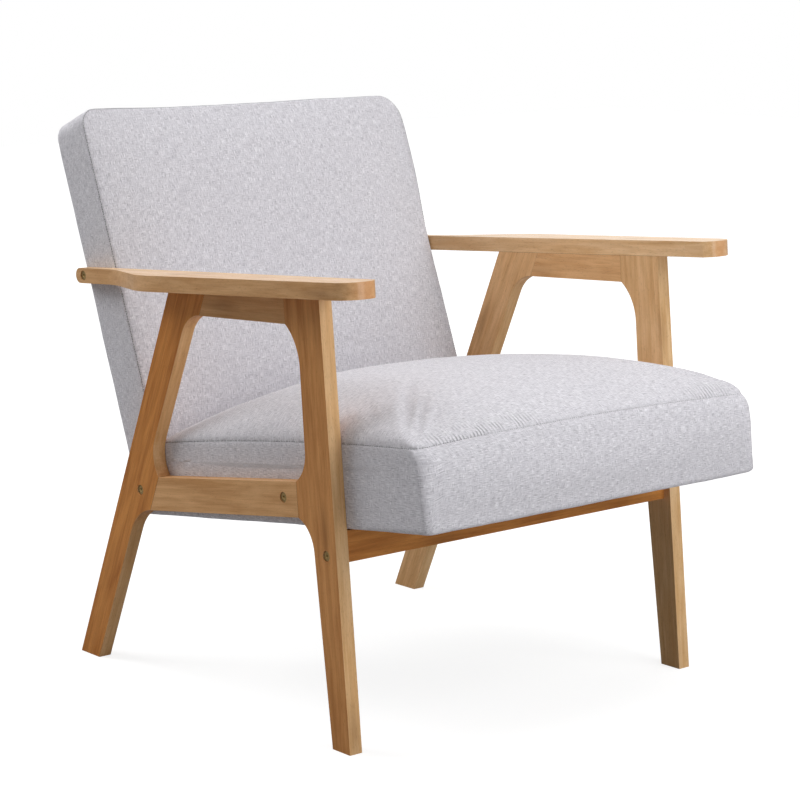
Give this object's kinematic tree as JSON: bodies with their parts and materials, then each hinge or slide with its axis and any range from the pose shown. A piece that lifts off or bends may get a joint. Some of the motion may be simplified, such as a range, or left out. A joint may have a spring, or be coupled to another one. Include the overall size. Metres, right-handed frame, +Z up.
{
  "type": "accent chair",
  "caption": "Accent chair with open wooden side frames, S-curved flat armrests, a thick domed seat cushion and a leaning padded back in light grey linen.",
  "frame": {"origin": "on the floor, under the middle of the chair's bounding box", "axes": "+X towards the sitter's left, +Y from the seat's front edge towards the back, +Z up"},
  "size_m": [0.717, 0.8492, 0.7976],
  "materials": {
    "rubberwood": "satin clear lacquer",
    "linen": "plain linen weave, matt",
    "antique_brass": "satin, antiqued",
    "insert_brass": "as turned",
    "zinc_steel": "zinc plated",
    "beech": "raw, fluted",
    "pine": "raw, sawn",
    "plywood": "raw",
    "foam": "open-cell foam with wadding",
    "webbing": "elastic webbing, matt",
    "dust_cloth": "black non-woven cloth"
  },
  "bodies": {
    "root": {"right_front_leg": "rubberwood", "left_front_leg": "rubberwood", "right_rear_leg": "rubberwood", "left_rear_leg": "rubberwood", "right_top_rail": "rubberwood", "left_top_rail": "rubberwood", "right_seat_rail": "rubberwood", "left_seat_rail": "rubberwood", "right_armrest": "rubberwood", "left_armrest": "rubberwood", "front_crossbar": "rubberwood", "frame_dowels": "beech", "armrest_dowels": "beech", "crossbar_dowels": "beech", "crossbar_bolts": "antique_brass", "crossbar_barrel_nuts": "zinc_steel", "seat_bolts": "antique_brass", "seat_tee_nuts": "zinc_steel", "armrest_bolts": "antique_brass", "back_tee_nuts": "zinc_steel", "back_foot_bolts": "zinc_steel", "back_foot_inserts": "insert_brass", "seat_front_rail": "pine", "seat_rear_rail": "pine", "seat_cross_rail": "pine", "seat_right_side_rail": "pine", "seat_left_side_rail": "pine", "seat_corner_blocks": "pine", "seat_ledge_board": "plywood", "seat_webbing_lengthwise": "webbing", "seat_webbing_crosswise": "webbing", "seat_foam": "foam", "seat_cover": "linen", "seat_dust_cover": "dust_cloth", "back_right_stile": "pine", "back_left_stile": "pine", "back_top_rail": "pine", "back_bottom_rail": "pine", "back_corner_blocks": "pine", "back_webbing": "webbing", "back_foam": "foam", "back_liner_board": "plywood", "back_cover": "linen"}
  },
  "joints": []
}
